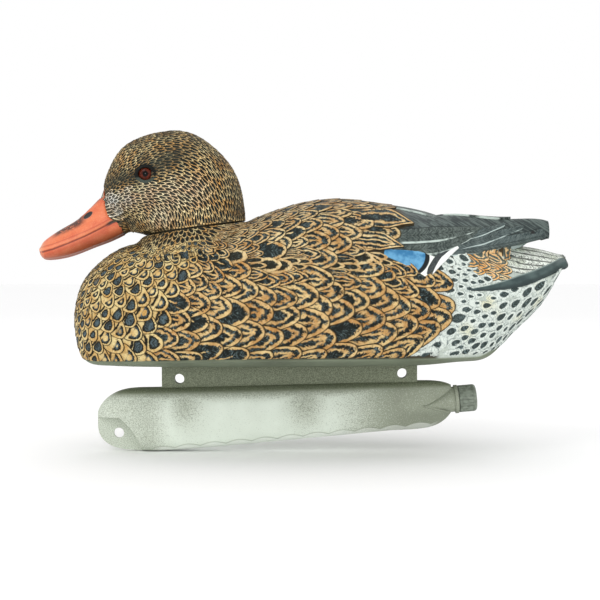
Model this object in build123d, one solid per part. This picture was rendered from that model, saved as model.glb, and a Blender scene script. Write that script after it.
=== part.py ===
from build123d import *
import math
import os

# Floating duck decoy, a hen mallard at rest on the water.
# Millimetres.  +Z is up, the bill points along -X and the duck's left side is -Y.
# The origin is on the floor plane under the middle of the decoy, so Z = 0 is the
# lowest line of the weighted keel.

# ---------------------------------------------------------------- driving sizes
HULL_WALL = 2.4          # blow-moulded wall of the hull, the head and the keel
TAIL_TIP_X = 200.0       # half of the 400 mm overall length
END_WALL_SHIFT = 1.6     # how far the cavity's end stands back, in wall thicknesses
CHINE_INSET = 1.6        # the wall is thicker at the chine, where the mould halves meet
CHINE_LIFT = 1.2
WING_WALL = 3.0

# neck: the seam is a tilted plane, and the head turns about its normal
NECK_X = -82.0
NECK_Z = 169.5
NECK_TILT = 8.05         # degrees, front edge low
NECK_R = 38.2
NECK_DECK = 4.5          # thickness of the deck that closes the hull under the head
DECK_CLEAR_R = 50.2      # the deck stays whole inside this radius
DECK_CLEAR_HEIGHT = 60.0
SEAM_GAP = 0.6           # running gap between the head's lower edge and the deck

SOCKET_FLANGE_R = 34.0
SOCKET_FLANGE_T = 2.2
SOCKET_OUTER_R = 30.0
SOCKET_BORE_R = 26.0
SOCKET_DEPTH = 20.0
OPENING_DEPTH = 40.0     # how deep the round neck opening is cut into the hull
PLUG_R = 25.6
PLUG_INNER_R = 20.2
PLUG_PLATE_T = 3.0
PLUG_PLATE_R = NECK_R - HULL_WALL - 0.6
PLUG_LIP_R = 27.4
PLUG_LIP_T = 2.4
PLUG_LIP_GAP = 0.5
O_RING_R = 1.5
O_RING_FIT = 0.05        # radial running clearance between the o-ring and the bore
O_RING_DEPTH = 9.0       # below the seam
GROOVE_OVERCUT = 1.0

EYE_R = 5.4
EYE_BALL_R = 7.6
EYE_X = -117.0
EYE_Z = 209.8
EYE_SURFACE_Y = 28.9     # half-width of the head where the eye sits
EYE_STAND = 1.1          # how far the glass stands proud of the cheek
EYE_LENGTH = 6.0

# web and keel
WEB_FRONT_X = -107.6
WEB_REAR_X = 87.0
WEB_T = 9.0
WEB_MIDDLE_Z = 59.0
WEB_HEIGHT = 30.0        # it runs into the keel below and the hull above
RIG_HOLE_R = 3.8
RIG_HOLES = ((-94.3, 55.3), (75.6, 59.5))
LINE_EYE_X = -140.7
LINE_EYE_Z = 13.8
LINE_EYE_R = 3.9
LINE_EYE_T = 4.0
SIDE_REACH = 30.0        # past the keel's flank on either side
CHAMBER_FRONT_X = -118.0     # behind the lug, so that the lug's flanks stay closed
CHAMBER_REAR_X = 110.0
SAND_LEVEL = 24.0
SAND_CLEARANCE = 0.1

# the flat lug at the keel's nose: the flanks are pressed in from its corner to its foot
LUG_CORNER_X = -139.0
LUG_CORNER_Z = 26.3
LUG_BEND_X = -130.4
LUG_BEND_Z = 17.5
LUG_FOOT_X = -121.5
LUG_CUT_FRONT_X = -170.0
LUG_CUT_BOTTOM_Z = -3.0

SCALLOP_COUNT = 10
SCALLOP_PITCH = 19.5
SCALLOP_FIRST_X = -104.0
SCALLOP_R = 26.0
SCALLOP_DEPTH = 1.4
SCALLOP_OUT = 0.80           # where a scoop meets the flank, as a share of the half-width
SCALLOP_RISE = 0.07          # and as a share of the keel's height above its bottom line
SCALLOP_FALL = 53.0          # degrees that the flank faces down there

# filling spout and its screw cap, on an axis that rises a little to the rear
SPOUT_X = 113.0
SPOUT_Z = 39.1
SPOUT_TILT = 5.0
SPOUT_R = 9.6
SPOUT_BORE_R = 6.2
SPOUT_BORE_REACH = 8.0   # how far the bore runs into the keel's chamber
SPOUT_NECK = 3.0         # plain neck between the keel's end and the collar
FAIRING_X = 90.8         # the fairing starts as a low edge on the keel's flank
FAIRING_Z = 33.8
FAIRING_EDGE = 0.7
FAIRING_HALF_WIDTH = 9.3
COLLAR_R = 10.9
COLLAR_T = 2.4
THREAD_R = 8.3
THREAD_LENGTH = 10.0
CAP_R = 10.3
CAP_BORE_R = 8.65
CAP_LENGTH = 13.2
CAP_WALL_END = 1.8
CAP_GAP = 0.8            # between the cap's skirt and the collar
CAP_ROUND = 2.4          # rounding of the cap's end
LINER_T = 1.0
LINER_GAP = 0.15
LINER_SIDE_GAP = 0.3
GRIP_COUNT = 24
GRIP_R = 0.55
GRIP_LENGTH = CAP_LENGTH - 2.6

VENT_X = 171.5
VENT_Y = 22.9
VENT_Z = 166.4
VENT_R = 1.3
VENT_LENGTH = 4.0


# ---------------------------------------------------------------- hull sections
# One cross-section of the hull:
# x, crown height, widest half-width, its height, chine half-width, its height,
# belly height, and the fullness of the shoulder (0.5 is a straight roof, 0.7 round).
HULL = (
    (-172.6, 111.0, 9.0, 100.5, 6.4, 92.6, 89.5, 0.72),
    (-169.6, 121.4, 22.0, 101.0, 16.5, 83.5, 79.5, 0.72),
    (-165.7, 130.3, 31.0, 101.5, 25.5, 75.5, 71.8, 0.72),
    (-158.0, 139.8, 41.5, 102.0, 36.5, 70.2, 67.0, 0.73),
    (-147.0, 149.0, 50.5, 102.5, 45.5, 69.6, 66.0, 0.74),
    (-132.0, 156.5, 58.5, 103.5, 53.0, 70.2, 65.4, 0.75),
    (-110.0, 159.5, 66.5, 104.5, 61.0, 71.4, 65.0, 0.76),
    (-82.0, 163.0, 73.0, 105.5, 67.5, 72.6, 64.8, 0.76),
    (-45.0, 173.5, 77.8, 106.5, 72.5, 73.6, 64.8, 0.76),
    (-10.0, 186.2, 80.0, 107.5, 75.0, 74.2, 65.0, 0.76),
    (25.0, 191.6, 80.4, 108.5, 75.5, 74.4, 65.2, 0.76),
    (60.0, 188.0, 77.0, 110.0, 72.0, 74.4, 65.6, 0.75),
    (95.0, 181.0, 69.0, 112.0, 63.5, 74.4, 66.6, 0.74),
    (122.0, 169.5, 59.0, 116.0, 52.5, 74.6, 69.0, 0.70),
    (138.0, 161.5, 51.5, 120.5, 43.0, 77.0, 72.0, 0.65),
    (152.0, 157.5, 45.0, 124.5, 32.5, 89.0, 84.6, 0.60),
    (170.0, 155.0, 36.5, 129.0, 22.0, 104.5, 101.5, 0.57),
    (187.0, 151.2, 28.0, 134.5, 14.0, 125.5, 123.5, 0.56),
    (TAIL_TIP_X - 0.8, 148.6, 17.0, 142.5, 9.0, 139.4, 138.6, 0.56),
)

# Folded wing: x, distance from the centre plane, height, half-thickness, half-span,
# and how far the blade leans in at the top, in degrees.
WING = (
    (72.0, 47.0, 159.0, 9.0, 26.0, 50.0),
    (100.0, 40.0, 161.5, 8.6, 24.0, 48.0),
    (127.0, 29.0, 164.5, 7.6, 18.0, 44.0),
    (150.0, 20.5, 166.0, 6.6, 13.0, 40.0),
    (168.0, 16.0, 168.3, 6.0, 10.0, 35.0),
    (184.6, 13.5, 168.6, 5.0, 7.2, 30.0),
)

# Head: height over the seam, front, back, half-width.  Measured along the neck axis.
HEAD = (
    (SEAM_GAP, -38.4, NECK_R, 37.6),
    (3.5, -45.0, 38.4, 37.0),
    (7.0, -50.5, 38.7, 36.3),
    (13.0, -54.0, 38.8, 35.3),
    (22.0, -59.5, 38.6, 34.6),
    (31.0, -62.6, 37.4, 34.0),
    (40.0, -63.2, 34.8, 32.6),
    (48.0, -60.6, 30.8, 30.4),
    (55.5, -56.4, 25.6, 27.0),
    (62.5, -51.4, 19.4, 22.4),
    (68.5, -45.0, 12.6, 17.0),
    (73.0, -35.5, 5.0, 11.2),
    (75.8, -23.0, -4.0, 5.5),
)
HEAD_EGG = 0.10          # how much narrower the face is than the nape

# Bill: x, top, underside, half-width.
BILL = (
    (-136.0, 189.5, 166.5, 13.0),
    (-150.4, 194.4, 159.8, 12.6),
    (-159.6, 186.4, 156.4, 12.0),
    (-168.7, 177.6, 152.8, 12.0),
    (-177.9, 171.6, 149.7, 12.6),
    (-187.0, 166.3, 147.8, 13.0),
    (-194.5, 160.8, 147.2, 11.4),
    (-199.2, 155.0, 149.4, 5.4),
)

# Keel: x, top, bottom, half-width.
KEEL = (
    (-156.6, 30.5, 17.0, 2.6),
    (-154.2, 35.6, 10.6, 5.6),
    (-149.0, 41.2, 5.4, 8.8),
    (-140.0, 46.2, 1.9, 11.8),
    (-126.0, 48.6, 0.6, 14.0),
    (-116.0, 48.8, 0.0, 14.7),
    (-104.0, 49.0, 0.3, 15.2),
    (-60.0, 50.0, 3.6, 15.6),
    (-10.0, 51.3, 8.2, 15.2),
    (40.0, 52.6, 12.9, 13.6),
    (72.0, 53.4, 15.7, 11.2),
    (92.0, 54.0, 17.2, 8.8),
    (103.5, 53.4, 20.6, 6.8),
    (113.0, 50.6, 29.0, 4.8),
)


# Neck: height over the seam and radius, for the collar outside and the hollow inside.
NECK_COLLAR = ((0.0, NECK_R), (-5.0, 45.0), (-18.0, 60.0))
NECK_HOLLOW = ((-NECK_DECK, 33.5), (-20.0, 46.0))


# ---------------------------------------------------------------- helpers
def neck_plane(height=0.0):
    """Plane across the neck, height above the seam; its local X runs to the rear."""
    tilt = math.radians(NECK_TILT)
    normal = Vector(-math.sin(tilt), 0, math.cos(tilt))
    rear = Vector(math.cos(tilt), 0, math.sin(tilt))
    origin = Vector(NECK_X, 0, NECK_Z) + normal * height
    return Plane(origin=origin, x_dir=rear, z_dir=normal)


def spout_plane(along=0.0):
    """Plane across the filling spout; its normal points out to the rear."""
    tilt = math.radians(SPOUT_TILT)
    out = Vector(math.cos(tilt), 0, math.sin(tilt))
    origin = Vector(SPOUT_X, 0, SPOUT_Z) + out * along
    return Plane(origin=origin, x_dir=Vector(0, 1, 0), z_dir=out)


def disc(plane, radius, height):
    """Solid cylinder standing on a plane; a negative height goes below it."""
    return extrude(plane * Circle(radius), amount=height)


def loft_wires(wires):
    return Solid.make_loft(wires)


def neck_cone(rings):
    return loft_wires([(neck_plane(height) * Circle(radius)).wire() for height, radius in rings])


# ---------------------------------------------------------------- hull
def hull_wire(row, inset):
    """Closed outline of one hull section, drawn in by inset for the cavity."""
    x, crown, widest, widest_z, chine, chine_z, belly, fullness = row
    # the end walls slope, so the cavity's end sections stand back along X as well
    lean = x / TAIL_TIP_X
    x = x - END_WALL_SHIFT * inset * lean * abs(lean)
    crown = crown - inset
    widest = widest - inset
    chine = chine - CHINE_INSET * inset
    chine_z = chine_z + CHINE_LIFT * inset
    belly = belly + inset
    shoulder = widest * fullness
    shoulder_z = widest_z + (crown - widest_z) * fullness
    half = [(chine, chine_z), (widest, widest_z), (shoulder, shoulder_z)]
    port = [(x, -y, z) for y, z in half]
    starboard = [(x, y, z) for y, z in reversed(half)]
    upper = Spline(*port, (x, 0, crown), *starboard)
    lower = ThreePointArc((x, chine, chine_z), (x, 0, belly), (x, -chine, chine_z))
    return Wire([upper, lower])


def hull_body(inset=0.0):
    rows = HULL
    if inset:
        rows = HULL[:-1]
    return loft_wires([hull_wire(row, inset) for row in rows])


def left_wing(inset=0.0):
    """Blade of the left folded wing, from the flank to the blunt primary tips."""
    wires = []
    for x, y, z, half_thickness, half_span, lean_in in WING:
        lean = math.radians(lean_in)
        along_span = Vector(0, math.sin(lean), math.cos(lean))
        plane = Plane(origin=(x - inset, -y, z), x_dir=along_span, z_dir=(1, 0, 0))
        outline = plane * Ellipse(half_span - inset, half_thickness - inset)
        wires.append(outline.wire())
    return loft_wires(wires)


def both_wings(inset=0.0):
    left = left_wing(inset)
    return left, left.mirror(Plane.XZ)


def hull_outer():
    left, right = both_wings()
    return hull_body() + neck_cone(NECK_COLLAR) + left + right


def body_shell(outer):
    over_deck = disc(neck_plane(-NECK_DECK), DECK_CLEAR_R, DECK_CLEAR_HEIGHT)
    left, right = both_wings(WING_WALL)
    cavity = hull_body(HULL_WALL) - over_deck
    cavity = cavity + left + right + neck_cone(NECK_HOLLOW)
    cavity = cavity + disc(neck_plane(), SOCKET_OUTER_R, -OPENING_DEPTH)
    shell = outer - cavity
    shell = shell - disc(neck_plane(), SOCKET_FLANGE_R, -SOCKET_FLANGE_T)
    return shell - vent_plug()


# ---------------------------------------------------------------- head
def head_wire(row, inset):
    """Egg-shaped outline across the head, wider at the nape than at the face."""
    height, front, back, half_width = row
    middle = (front + back) / 2
    length = (back - front) / 2 - inset
    width = half_width - inset
    plane = neck_plane(height)
    points = []
    for step in range(8):
        turn = math.radians(45 * step)
        along = middle - length * math.cos(turn)
        across = width * math.sin(turn) * (1 - HEAD_EGG * math.cos(turn))
        points.append(plane.from_local_coords(Vector(along, across, 0)))
    return Wire([Spline(*points, periodic=True)])


def bill_wire(row, inset):
    """Bill section: flat below, rounded above."""
    x, top, bottom, half_width = row
    top = top - inset
    bottom = bottom + inset
    width = half_width - inset
    rise = top - bottom
    right = [(0.62 * width, 0.02), (width, 0.28), (0.66 * width, 0.74)]
    points = [(x, 0, bottom)]
    points += [(x, y, bottom + share * rise) for y, share in right]
    points += [(x, 0, top)]
    points += [(x, -y, bottom + share * rise) for y, share in reversed(right)]
    return Wire([Spline(*points, periodic=True)])


def head_shell():
    outer = loft_wires([head_wire(row, 0) for row in HEAD])
    outer = outer + loft_wires([bill_wire(row, 0) for row in BILL])
    inner_rows = HEAD[:-1]
    cavity = loft_wires([head_wire(row, HULL_WALL) for row in inner_rows])
    cavity = cavity + loft_wires([bill_wire(row, HULL_WALL) for row in BILL[:-1]])
    mouth = disc(neck_plane(SEAM_GAP), PLUG_PLATE_R, PLUG_PLATE_T)
    shell = outer - cavity - mouth
    for side in (-1, 1):
        shell = shell - eye_stem(side)
    return shell


def eye_stem(side):
    """Cylinder along Y that the eye fills, from inside the head to past its skin."""
    start = side * (EYE_SURFACE_Y - EYE_LENGTH + EYE_STAND)
    plane = Plane(origin=(EYE_X, start, EYE_Z), x_dir=(1, 0, 0), z_dir=(0, side, 0))
    return disc(plane, EYE_R, 2 * EYE_LENGTH)


def eye(side):
    middle = side * (EYE_SURFACE_Y + EYE_STAND - EYE_BALL_R)
    ball = Pos(EYE_X, middle, EYE_Z) * Sphere(EYE_BALL_R)
    return ball & eye_stem(side)


# ---------------------------------------------------------------- neck joint
def neck_socket():
    """Flanged cup set into the hull's neck opening; the head's plug turns in it."""
    flange = disc(neck_plane(), SOCKET_FLANGE_R, -SOCKET_FLANGE_T)
    tube = disc(neck_plane(), SOCKET_OUTER_R, -SOCKET_DEPTH)
    return flange + tube - disc(neck_plane(), SOCKET_BORE_R, -SOCKET_DEPTH)


def neck_plug():
    """Plate that closes the head, with a spigot whose lip snaps under the socket."""
    plate = disc(neck_plane(SEAM_GAP), PLUG_PLATE_R, PLUG_PLATE_T)
    lip_top = -SOCKET_DEPTH - PLUG_LIP_GAP
    spigot = disc(neck_plane(SEAM_GAP), PLUG_R, lip_top - PLUG_LIP_T - SEAM_GAP)
    lip = disc(neck_plane(lip_top), PLUG_LIP_R, -PLUG_LIP_T)
    hollow = disc(neck_plane(SEAM_GAP), PLUG_INNER_R, lip_top - PLUG_LIP_T - SEAM_GAP)
    groove_plane = neck_plane(-O_RING_DEPTH - O_RING_R)
    groove_floor = SOCKET_BORE_R - O_RING_FIT - 2 * O_RING_R
    groove = disc(groove_plane, PLUG_R + GROOVE_OVERCUT, 2 * O_RING_R)
    groove = groove - disc(groove_plane, groove_floor, 2 * O_RING_R)
    return plate + spigot + lip - hollow - groove


def neck_o_ring():
    centre_r = SOCKET_BORE_R - O_RING_FIT - O_RING_R
    plane = neck_plane(-O_RING_DEPTH)
    return plane * Torus(centre_r, O_RING_R)


# ---------------------------------------------------------------- keel
def keel_wire(row, inset):
    """Keel section: domed top, full sides, narrower round bottom."""
    x, top, bottom, half_width = row
    top = top - inset
    bottom = bottom + inset
    width = half_width - inset
    rise = top - bottom
    right = [(0.62 * width, 0.06), (0.92 * width, 0.30), (width, 0.66), (0.72 * width, 0.93)]
    points = [(x, 0, bottom)]
    points += [(x, y, bottom + share * rise) for y, share in right]
    points += [(x, 0, top)]
    points += [(x, -y, bottom + share * rise) for y, share in reversed(right)]
    return Wire([Spline(*points, periodic=True)])


def keel_chamber(inset):
    rows = [row for row in KEEL if CHAMBER_FRONT_X < row[0] < CHAMBER_REAR_X]
    return loft_wires([keel_wire(row, inset) for row in rows])


def lug_relief(side):
    """What is pressed away beside the line-eye lug at the keel's nose."""
    y = side * LINE_EYE_T / 2
    corner = (LUG_CORNER_X, y, LUG_CORNER_Z)
    foot = (LUG_FOOT_X, y, LUG_CUT_BOTTOM_Z)
    low_front = (LUG_CUT_FRONT_X, y, LUG_CUT_BOTTOM_Z)
    high_front = (LUG_CUT_FRONT_X, y, LUG_CORNER_Z)
    sweep_down = ThreePointArc(corner, (LUG_BEND_X, y, LUG_BEND_Z), foot)
    border = Polyline(foot, low_front, high_front, corner)
    face = Face(Wire([sweep_down, *border.edges()]))
    return extrude(face, amount=SIDE_REACH, dir=(0, side, 0))


def keel_section(x):
    """Top, bottom and half-width of the keel at x, straight between its sections."""
    for row, after in zip(KEEL, KEEL[1:]):
        if row[0] <= x <= after[0]:
            share = (x - row[0]) / (after[0] - row[0])
            return [low + share * (high - low) for low, high in zip(row[1:], after[1:])]
    return KEEL[-1][1:]


def scallop(index, side):
    """Shallow scoop in the lower edge of the keel's side."""
    x = SCALLOP_FIRST_X + index * SCALLOP_PITCH
    top, bottom, half_width = keel_section(x)
    fall = math.radians(SCALLOP_FALL)
    reach = SCALLOP_R - SCALLOP_DEPTH
    out = SCALLOP_OUT * half_width + reach * math.cos(fall)
    height = bottom + SCALLOP_RISE * (top - bottom) - reach * math.sin(fall)
    return Pos(x, side * out, height) * Sphere(SCALLOP_R)


def bore_y(x, z, radius):
    plane = Plane(origin=(x, -SIDE_REACH, z), x_dir=(1, 0, 0), z_dir=(0, 1, 0))
    return disc(plane, radius, 2 * SIDE_REACH)


def spout():
    """Fairing that swells out of the keel's flanks, then neck, collar and thread core."""
    start = Plane(origin=(FAIRING_X, 0, FAIRING_Z), x_dir=(0, 1, 0), z_dir=(1, 0, 0))
    fairing = loft_wires([
        (start * Ellipse(FAIRING_HALF_WIDTH, FAIRING_EDGE)).wire(),
        (spout_plane() * Circle(SPOUT_R)).wire(),
    ])
    neck = disc(spout_plane(), SPOUT_R, SPOUT_NECK)
    collar = disc(spout_plane(SPOUT_NECK), COLLAR_R, COLLAR_T)
    thread = disc(spout_plane(SPOUT_NECK), THREAD_R, COLLAR_T + THREAD_LENGTH)
    return fairing + neck + collar + thread


def keel_shell(outer_hull):
    shell = loft_wires([keel_wire(row, 0) for row in KEEL])
    web_length = WEB_REAR_X - WEB_FRONT_X
    web_middle_x = (WEB_REAR_X + WEB_FRONT_X) / 2
    web = Pos(web_middle_x, 0, WEB_MIDDLE_Z) * Box(web_length, WEB_T, WEB_HEIGHT)
    shell = shell + web - outer_hull
    shell = shell + spout() - keel_chamber(HULL_WALL)
    for side in (-1, 1):
        shell = shell - lug_relief(side)
        for index in range(SCALLOP_COUNT):
            shell = shell - scallop(index, side)
    bore_length = SPOUT_BORE_REACH + SPOUT_NECK + COLLAR_T + THREAD_LENGTH
    shell = shell - disc(spout_plane(-SPOUT_BORE_REACH), SPOUT_BORE_R, bore_length)
    for x, z in RIG_HOLES:
        shell = shell - bore_y(x, z, RIG_HOLE_R)
    return shell - bore_y(LINE_EYE_X, LINE_EYE_Z, LINE_EYE_R)


def keel_ballast():
    """Sand that fills the keel's chamber to just under the spout."""
    sand = keel_chamber(HULL_WALL + SAND_CLEARANCE)
    surface = Plane(origin=(0, 0, SAND_LEVEL), z_dir=(0, 0, 1))
    return split(sand, surface, keep=Keep.BOTTOM)


def keel_cap():
    start = SPOUT_NECK + COLLAR_T + CAP_GAP
    body = disc(spout_plane(start), CAP_R, CAP_LENGTH)
    end_edge = body.edges().filter_by(GeomType.CIRCLE).sort_by(Axis.X)[-1]
    body = fillet(end_edge, CAP_ROUND)
    for index in range(GRIP_COUNT):
        turn = 2 * math.pi * index / GRIP_COUNT
        plane = spout_plane(start)
        centre = plane.from_local_coords(Vector(CAP_R * math.cos(turn), CAP_R * math.sin(turn), 0))
        groove = Plane(origin=centre, x_dir=plane.x_dir, z_dir=plane.z_dir) * Circle(GRIP_R)
        body = body - extrude(groove, amount=GRIP_LENGTH)
    return body - disc(spout_plane(start), CAP_BORE_R, CAP_LENGTH - CAP_WALL_END)


def cap_liner():
    mouth = SPOUT_NECK + COLLAR_T + THREAD_LENGTH + LINER_GAP
    return disc(spout_plane(mouth), CAP_BORE_R - LINER_SIDE_GAP, LINER_T)


def vent_plug():
    """Small pin that closes the moulding's air hole in the left wing tip."""
    plane = Plane(origin=(VENT_X, -VENT_Y, VENT_Z), x_dir=(1, 0, 0), z_dir=(0, 1, 0))
    return disc(plane, VENT_R, VENT_LENGTH)


# ---------------------------------------------------------------- assembly
def build():
    outer = hull_outer()
    return {
        "body_shell": body_shell(outer),
        "neck_socket": neck_socket(),
        "head_shell": head_shell(),
        "neck_plug": neck_plug(),
        "neck_o_ring": neck_o_ring(),
        "left_eye": eye(-1),
        "right_eye": eye(1),
        "keel_shell": keel_shell(outer),
        "keel_ballast": keel_ballast(),
        "keel_cap": keel_cap(),
        "cap_liner": cap_liner(),
        "vent_plug": vent_plug(),
    }


def main():
    os.makedirs("parts", exist_ok=True)
    for node, shape in build().items():
        export_step(shape, os.path.join("parts", node + ".step"))


main()
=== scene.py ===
import bpy
import math
import numpy as np
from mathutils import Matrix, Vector
from mathutils.bvhtree import BVHTree


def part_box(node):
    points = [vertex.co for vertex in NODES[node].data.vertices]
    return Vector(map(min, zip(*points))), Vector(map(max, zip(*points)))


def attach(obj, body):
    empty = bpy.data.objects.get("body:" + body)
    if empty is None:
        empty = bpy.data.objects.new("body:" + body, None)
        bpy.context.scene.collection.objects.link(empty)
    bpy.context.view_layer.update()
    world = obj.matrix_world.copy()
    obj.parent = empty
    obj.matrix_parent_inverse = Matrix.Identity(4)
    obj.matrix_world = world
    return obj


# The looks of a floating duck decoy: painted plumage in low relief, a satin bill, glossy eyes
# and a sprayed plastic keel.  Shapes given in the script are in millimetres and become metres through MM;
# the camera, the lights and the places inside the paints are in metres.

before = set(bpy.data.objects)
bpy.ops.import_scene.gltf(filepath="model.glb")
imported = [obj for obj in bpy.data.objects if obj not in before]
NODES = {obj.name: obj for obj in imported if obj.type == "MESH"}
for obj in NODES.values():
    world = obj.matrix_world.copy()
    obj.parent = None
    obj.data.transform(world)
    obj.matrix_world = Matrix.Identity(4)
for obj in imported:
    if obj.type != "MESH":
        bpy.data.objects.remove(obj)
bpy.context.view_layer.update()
MM = 0.001
SIDES = (-1, 1)
random_draws = np.random.default_rng(11)


# ---------------- camera, light, floor
CAMERA_DISTANCE = 1.075
CAMERA_HEIGHT = 0.150
CAMERA_X = -0.0063
CAMERA_PLACE = Vector((CAMERA_X, -CAMERA_DISTANCE, CAMERA_HEIGHT))
VIEW_WIDTH = 0.4580  # what the frame's width spans at the decoy's middle plane
VIEW_CENTRE = Vector((-0.0023, 0, 0.1153))
SENSOR = 36.0


def new_object(name, data):
    thing = bpy.data.objects.new(name, data)
    bpy.context.scene.collection.objects.link(thing)
    return thing


def aim(thing, place, target):
    """Puts a camera or light at a place, pointing at the target."""
    thing.location = place
    thing.rotation_euler = (target - thing.location).to_track_quat("-Z", "Y").to_euler()


def make_camera():
    data = bpy.data.cameras.new("camera")
    data.sensor_width = SENSOR
    data.lens = SENSOR * CAMERA_DISTANCE / VIEW_WIDTH
    data.clip_end = 20
    camera = new_object("camera", data)
    aim(camera, CAMERA_PLACE, VIEW_CENTRE)
    bpy.context.scene.camera = camera


def area_light(name, place, size, power, target=(0, 0, 0.12)):
    data = bpy.data.lights.new(name, "AREA")
    data.shape = "SQUARE"
    data.size = size
    data.energy = power
    aim(new_object(name, data), place, Vector(target))


def make_light():
    bpy.context.scene.view_settings.view_transform = "Standard"
    world = bpy.data.worlds.new("studio")
    world.use_nodes = True
    background = world.node_tree.nodes["Background"]
    background.inputs["Color"].default_value = (1, 1, 1, 1)
    background.inputs["Strength"].default_value = 1.0
    bpy.context.scene.world = world
    area_light("key", (-0.9, -1.3, 1.5), 0.9, 7)
    area_light("fill", (1.3, -1.1, 0.7), 1.1, 1.5)
    area_light("back", (0.2, 1.4, 1.3), 1.2, 2)
    area_light("low", (-0.22, -1.5, 0.34), 0.28, 2.4, target=(0, 0, 0.04))


def make_floor():
    size = 6.0
    mesh = bpy.data.meshes.new("floor")
    corners = [(-size, -size, 0), (size, -size, 0), (size, size, 0), (-size, size, 0)]
    mesh.from_pydata(corners, [], [(0, 1, 2, 3)])
    material = bpy.data.materials.new("floor_paper")
    material.use_nodes = True
    shader = material.node_tree.nodes["Principled BSDF"]
    shader.inputs["Base Color"].default_value = (0.965, 0.965, 0.965, 1)
    shader.inputs["Roughness"].default_value = 0.9
    mesh.materials.append(material)
    new_object("floor", mesh)


# ---------------- material building
def linear(red, green, blue):
    """A colour given as 0-255 display values, as Blender's linear colour."""
    def one(value):
        value = value / 255
        return value / 12.92 if value <= 0.04045 else ((value + 0.055) / 1.055) ** 2.4
    return (one(red), one(green), one(blue), 1.0)


class Wire:
    """One value in a material's node graph.  Arithmetic on it adds math nodes."""

    def __init__(self, paint, socket):
        self.paint = paint
        self.socket = socket

    def __add__(self, other):
        return self.paint.math("ADD", self, other)

    def __sub__(self, other):
        return self.paint.math("SUBTRACT", self, other)

    def __rsub__(self, other):
        return self.paint.math("SUBTRACT", other, self)

    def __mul__(self, other):
        return self.paint.math("MULTIPLY", self, other)

    def __truediv__(self, other):
        return self.paint.math("DIVIDE", self, other)

    def __pow__(self, other):
        return self.paint.math("POWER", self, other)

    def __abs__(self):
        return self.paint.math("ABSOLUTE", self)

    def step(self, low, high):
        """0 below low, 1 above high, smooth between; with low above high it falls instead."""
        ends = {"From Min": min(low, high), "From Max": max(low, high)}
        if low > high:
            ends.update({"To Min": 1, "To Max": 0})
        node = self.paint.node("MapRange", {"Value": self, **ends})
        node.interpolation_type = "SMOOTHSTEP"
        return Wire(self.paint, node.outputs[0])

    def band(self, low, high, soft):
        """1 between low and high, with soft edges."""
        return self.step(low - soft, low + soft) * self.step(high + soft, high - soft)


class Paint:
    """Builds the shader nodes of one material."""

    def __init__(self, name):
        self.material = bpy.data.materials.new(name)
        self.material.use_nodes = True
        self.nodes = self.material.node_tree.nodes
        self.shader = self.nodes["Principled BSDF"]
        self.place = Wire(self, self.node("TexCoord").outputs["Object"])
        self.colour = None

    def feed(self, node, values):
        """Gives a node's inputs their values; values maps the inputs' names or numbers."""
        for key, value in values.items():
            if isinstance(value, Wire):
                self.material.node_tree.links.new(value.socket, node.inputs[key])
            else:
                node.inputs[key].default_value = value

    def node(self, kind, values=None):
        node = self.nodes.new("ShaderNode" + kind)
        self.feed(node, values or {})
        return node

    def math(self, operation, *values):
        node = self.node("Math", dict(enumerate(values)))
        node.operation = operation
        return Wire(self, node.outputs[0])

    def larger(self, *values):
        """The largest of several values."""
        largest = values[0]
        for value in values[1:]:
            largest = self.math("MAXIMUM", largest, value)
        return largest

    def mix(self, share, first, second):
        """Share 0 is the first colour and 1 the second; a plain colour is in 0-255 display values."""
        first, second = (linear(*c) if isinstance(c, tuple) else c for c in (first, second))
        node = self.node("Mix")
        node.data_type = "RGBA"
        self.feed(node, {0: share, 6: first, 7: second})
        return Wire(self, node.outputs[2])

    def noise(self, scale, detail=2.0, place=None, rough=0.5):
        place = place or self.place
        values = {"Vector": place, "Scale": scale, "Detail": detail, "Roughness": rough}
        node = self.node("TexNoise", values)
        return Wire(self, node.outputs["Fac"])

    def shifted(self, amount):
        """The object's own coordinates, moved so that a noise differs from the others."""
        node = self.node("VectorMath", {0: self.place, 1: (amount, amount, amount)})
        return Wire(self, node.outputs[0])

    def split(self, vector):
        return [Wire(self, output) for output in self.node("SeparateXYZ", {0: vector}).outputs]

    def join(self, x, y, z):
        return Wire(self, self.node("CombineXYZ", {0: x, 1: y, 2: z}).outputs[0])

    def attribute(self, name):
        """The three values that a mesh carries at each point under this name."""
        node = self.node("Attribute")
        node.attribute_name = name
        return self.split(Wire(self, node.outputs["Vector"]))

    def bump(self, height, distance, strength=1.0):
        node = self.node("Bump", {"Distance": distance, "Strength": strength, "Height": height})
        self.feed(self.shader, {"Normal": Wire(self, node.outputs[0])})

    def coat(self, share, colour):
        """Lays a colour over what is there; share is how much it covers."""
        self.colour = self.mix(share, self.colour, colour)

    def finish(self, rough=0.6, gloss=0.4):
        self.feed(self.shader, {"Base Color": self.colour, "Roughness": rough, "Specular IOR Level": gloss})
        return self.material


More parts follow.
